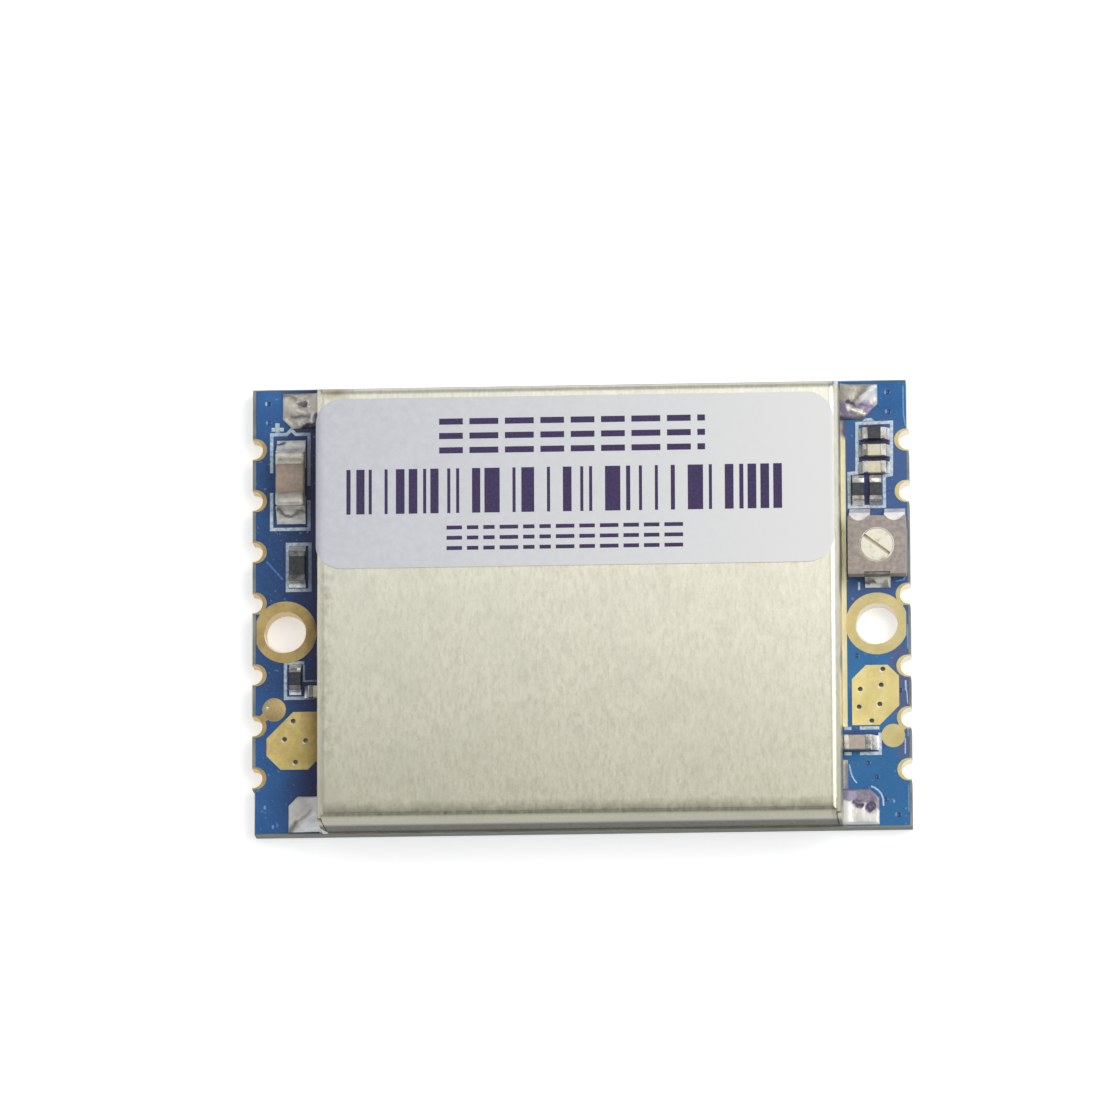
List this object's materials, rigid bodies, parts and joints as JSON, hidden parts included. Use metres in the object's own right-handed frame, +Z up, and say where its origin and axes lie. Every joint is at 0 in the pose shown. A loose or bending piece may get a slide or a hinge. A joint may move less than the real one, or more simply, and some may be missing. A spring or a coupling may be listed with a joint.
{
  "type": "rf amplifier module",
  "caption": "Radio amplifier board with plated half-holes along both ends, a folded shield can under a sticker, edge chips and a slotted trimmer.",
  "frame": {"origin": "middle of the board on its underside, in the plane of the lands that are soldered to a main board", "axes": "+X along the board towards the trimmer end, +Y towards the edge that the sticker is near, +Z up out of the can"},
  "size_m": [0.032, 0.022, 0.0049],
  "materials": {
    "laminate": "satin glass-fibre laminate",
    "mask": "glossy blue lacquer",
    "plated_copper": "thin gold finish on copper",
    "can_sheet": "brushed, tin-plated",
    "sticker": "satin white",
    "solder": "dull, rippled",
    "tin_ends": "matte tin",
    "supply_ceramic": "fine matte brown",
    "pale_ceramic": "fine matte cream",
    "resistor_glaze": "dark glaze",
    "trimmer_plastic": "fine matte",
    "trimmer_ceramic": "white",
    "rotor_plastic": "satin cream",
    "carbon_track": "matte black",
    "wiper_bronze": "bare spring bronze",
    "package_plastic": "fine matte black",
    "lead_metal": "tin-plated",
    "ferrite": "matte dark grey",
    "copper_wire": "enamelled copper"
  },
  "bodies": {
    "module": {"circuit_board": "laminate", "solder_mask_top": "mask", "solder_mask_bottom": "mask", "castellations_left": "plated_copper", "castellations_right": "plated_copper", "mounting_land_left": "plated_copper", "mounting_land_right": "plated_copper", "test_land_left": "plated_copper", "test_land_right": "plated_copper", "ground_land_left": "plated_copper", "ground_land_right": "plated_copper", "shield_land": "plated_copper", "component_lands": "plated_copper", "shield_can": "can_sheet", "label": "sticker", "solder_back_left": "solder", "solder_back_right": "solder", "solder_front_left": "solder", "solder_front_right": "solder", "supply_capacitor": "supply_ceramic", "supply_capacitor_ends": "tin_ends", "supply_capacitor_solder": "solder", "edge_capacitors": "pale_ceramic", "edge_resistors": "resistor_glaze", "signal_chip": "pale_ceramic", "edge_chip_ends": "tin_ends", "edge_chip_solder": "solder", "trimmer_housing": "trimmer_plastic", "trimmer_substrate": "trimmer_ceramic", "trimmer_track": "carbon_track", "trimmer_terminals": "lead_metal", "trimmer_solder": "solder", "power_amplifier": "package_plastic", "power_amplifier_pads": "lead_metal", "driver_amplifier": "package_plastic", "driver_amplifier_leads": "lead_metal", "bias_regulator": "package_plastic", "bias_regulator_leads": "lead_metal", "choke_core": "ferrite", "choke_winding": "copper_wire", "inner_capacitors": "supply_ceramic", "inner_resistors": "resistor_glaze", "inner_inductors": "pale_ceramic", "inner_chip_ends": "tin_ends", "inner_chip_solder": "solder"},
    "rotor": {"trimmer_rotor": "rotor_plastic", "trimmer_wiper": "wiper_bronze"}
  },
  "joints": [
    {"name": "trimmer_turn", "type": "hinge", "parent": "module", "child": "rotor", "pos_m": [0.01445, 0.00261, 0.0022], "axis": [0, 0, 1], "range_deg": [-80, 155]}
  ]
}
